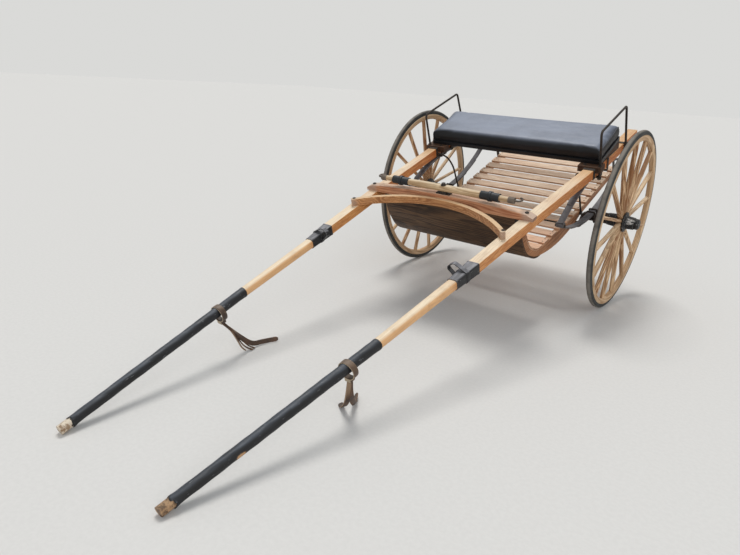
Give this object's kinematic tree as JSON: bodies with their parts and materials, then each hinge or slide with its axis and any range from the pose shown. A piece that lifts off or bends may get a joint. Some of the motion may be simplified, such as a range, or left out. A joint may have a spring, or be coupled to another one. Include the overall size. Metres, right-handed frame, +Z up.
{
  "type": "horse cart",
  "caption": "Two-wheeled wooden road cart with slender shafts, singletree, slatted foot basket, elliptic springs and a padded bench seat",
  "frame": {"origin": "on the ground, midway along the cart's length, in its plane of symmetry", "axes": "+Z up; the shafts reach towards -Y, so -Y is forward; +X is the cart's own left-hand side"},
  "size_m": [1.6612, 3.6756, 1.2473],
  "materials": {
    "shaft_wood": "worn varnish over pale straight-grained wood",
    "bar_wood": "worn varnish over reddish wood",
    "singletree_wood": "bare greyed wood",
    "basket_wood": "weathered brown wood",
    "slat_wood": "weathered bare boards",
    "dark_board": "dark stained boards, worn",
    "riser_wood": "dark brown wood",
    "wheel_wood": "dull varnished wood",
    "black_leather": "worn black leather",
    "brown_leather": "dry brown leather",
    "seat_vinyl": "black padded vinyl with a soft sheen",
    "dark_iron": "dark forged iron, lightly rusted",
    "hub_iron": "worn black paint",
    "spring_steel": "slate grey worn paint on spring steel",
    "tyre_rubber": "greyed solid rubber",
    "black_rubber": "dull black rubber"
  },
  "bodies": {
    "root": {"arm_rail_clamps": "dark_iron", "arm_rail_left": "dark_iron", "arm_rail_right": "dark_iron", "axle": "dark_iron", "axle_clips": "dark_iron", "basket_brackets": "dark_iron", "basket_front": "dark_board", "basket_hanger_left": "dark_iron", "basket_hanger_right": "dark_iron", "basket_rail_left": "basket_wood", "basket_rail_right": "basket_wood", "basket_rear_irons": "dark_iron", "basket_slats": "slat_wood", "basket_toe": "slat_wood", "bow": "bar_wood", "crossbar": "bar_wood", "holdback_loop_left": "black_leather", "holdback_loop_right": "black_leather", "rear_bar": "bar_wood", "seat_blocks": "bar_wood", "seat_board": "riser_wood", "seat_cushion": "seat_vinyl", "seat_riser_left": "riser_wood", "seat_riser_right": "riser_wood", "shaft_clips": "dark_iron", "shaft_left": "shaft_wood", "shaft_right": "shaft_wood", "shaft_wrap_left": "black_leather", "shaft_wrap_right": "black_leather", "singletree_pivot": "dark_iron", "spring_bolts": "dark_iron", "spring_lower_left": "spring_steel", "spring_lower_right": "spring_steel", "spring_upper_left": "spring_steel", "spring_upper_right": "spring_steel", "tug_ring_left": "brown_leather", "tug_ring_right": "brown_leather", "tug_tail_left": "brown_leather", "tug_tail_right": "brown_leather"},
    "wheel_left": {"tyre_left": "tyre_rubber", "felloe_left": "wheel_wood", "spokes_left": "wheel_wood", "hub_left": "hub_iron", "hub_cap_left": "dark_iron"},
    "wheel_right": {"tyre_right": "tyre_rubber", "felloe_right": "wheel_wood", "spokes_right": "wheel_wood", "hub_right": "hub_iron", "hub_cap_right": "dark_iron"},
    "singletree": {"singletree": "singletree_wood", "trace_keepers": "black_rubber", "trace_hooks": "dark_iron"}
  },
  "joints": [
    {"name": "wheel_spin_left", "type": "hinge", "parent": "root", "child": "wheel_left", "pos_m": [0.722, 1.18075, 0.5601], "axis": [0.9997, 0, -0.0262], "continuous": true},
    {"name": "wheel_spin_right", "type": "hinge", "parent": "root", "child": "wheel_right", "pos_m": [-0.722, 1.18075, 0.5601], "axis": [-0.9997, 0, -0.0262], "continuous": true},
    {"name": "singletree_swing", "type": "hinge", "parent": "root", "child": "singletree", "pos_m": [0, 0.20297, 0.75737], "axis": [0, -0.2803, 0.9599], "range_deg": [-20, 20]}
  ]
}
